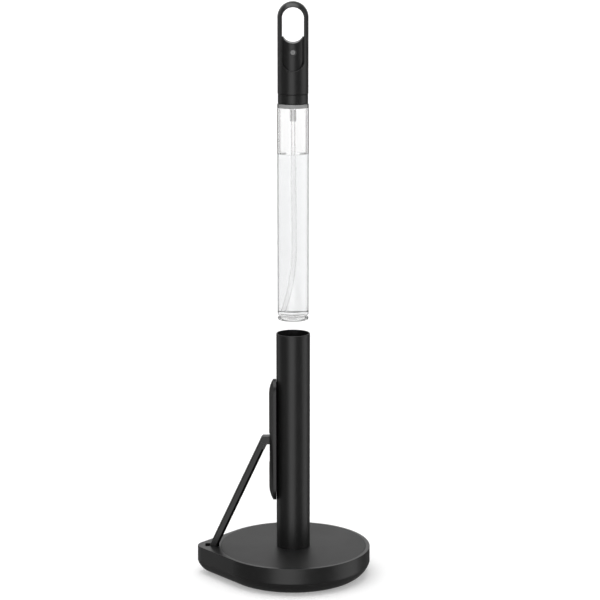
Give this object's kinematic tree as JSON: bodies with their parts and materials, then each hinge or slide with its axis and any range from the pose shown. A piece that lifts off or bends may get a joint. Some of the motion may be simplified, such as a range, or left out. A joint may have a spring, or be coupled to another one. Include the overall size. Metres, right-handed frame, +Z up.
{
  "type": "paper towel holder",
  "caption": "Weighted standing paper towel holder with a sprung tension arm and pad, and a refillable spray bottle that stores inside the hollow post.",
  "frame": {"origin": "on the post's axis at the surface the base stands on", "axes": "+Z up along the post, -X towards the lobe and the tension arm, -Y the way the spray nozzle faces"},
  "size_m": [0.1788, 0.159, 0.589],
  "materials": {
    "shell_plastic": "satin",
    "black_plastic": "satin",
    "satin_steel": "satin",
    "rubber": "matte",
    "cast_iron": "matte",
    "fastener_steel": "satin",
    "spring_steel": "polished",
    "turned_aluminium": "satin",
    "clear_plastic": "gloss",
    "tube_plastic": "gloss",
    "pump_plastic": "satin",
    "nozzle_plastic": "satin"
  },
  "bodies": {
    "base": {"base_shell": "shell_plastic", "base_top_plate": "satin_steel", "bottom_cover": "shell_plastic", "foot_pad": "rubber", "base_weight": "cast_iron", "cover_screws": "fastener_steel", "post_tube": "satin_steel", "post_plug": "turned_aluminium", "post_bolt": "fastener_steel", "post_washer": "fastener_steel", "bottle_seat": "rubber", "pivot_bracket": "fastener_steel", "bracket_screws": "fastener_steel", "arm_pin": "fastener_steel", "pin_clips": "fastener_steel", "arm_spring": "spring_steel"},
    "arm": {"arm_strut": "satin_steel", "arm_core": "black_plastic", "arm_knuckle": "black_plastic", "arm_bush": "pump_plastic"},
    "pad": {"pad_shell": "black_plastic", "pad_back": "black_plastic", "pad_liner": "rubber", "pad_pin": "fastener_steel"},
    "bottle": {"bottle_body": "clear_plastic", "bottle_base": "clear_plastic"},
    "pump_core": {"neck_gasket": "rubber", "pump_housing": "pump_plastic", "housing_cap": "pump_plastic", "dip_tube": "tube_plastic", "pump_spring": "spring_steel"},
    "inlet_valve": {"valve_ball": "spring_steel"},
    "pump_head": {"closure_collar": "black_plastic", "head_shell": "black_plastic"},
    "pump_button": {"actuator": "black_plastic", "nozzle_insert": "nozzle_plastic", "pump_stem": "pump_plastic", "piston": "pump_plastic"}
  },
  "joints": [
    {"name": "arm_swing", "type": "hinge", "parent": "base", "child": "arm", "pos_m": [-0.0864, 0, 0.02], "axis": [0, -1, 0], "range_deg": [0, 24], "stiffness_Nm_per_rad": 0.84, "springref_deg": -20.05},
    {"name": "pad_tilt", "type": "hinge", "parent": "arm", "child": "pad", "pos_m": [-0.021, 0, 0.1426], "axis": [0, -1, 0], "range_deg": [-24, 0]},
    {"name": "bottle_lift", "type": "slide", "parent": "base", "child": "bottle", "axis": [0, 0, 1], "range_m": [-0.2342, 0]},
    {"name": "head_lift", "type": "slide", "parent": "bottle", "child": "pump_core", "axis": [0, 0, 1], "range_m": [0, 0.225]},
    {"name": "ball_lift", "type": "slide", "parent": "pump_core", "child": "inlet_valve", "axis": [0, 0, 1], "range_m": [0, 0.001]},
    {"name": "closure_turn", "type": "hinge", "parent": "pump_core", "child": "pump_head", "pos_m": [0, 0, 0.495], "axis": [0, 0, 1], "range_deg": [0, 360]},
    {"name": "pump_press", "type": "slide", "parent": "pump_head", "child": "pump_button", "axis": [0, 0, 1], "range_m": [-0.006, 0], "stiffness_N_per_m": 900, "springref_m": 0.004, "deforming": ["pump_spring"]}
  ],
  "couplings": [
    {"joint": "pad_tilt", "follows": "arm_swing", "ratio": -1}
  ]
}
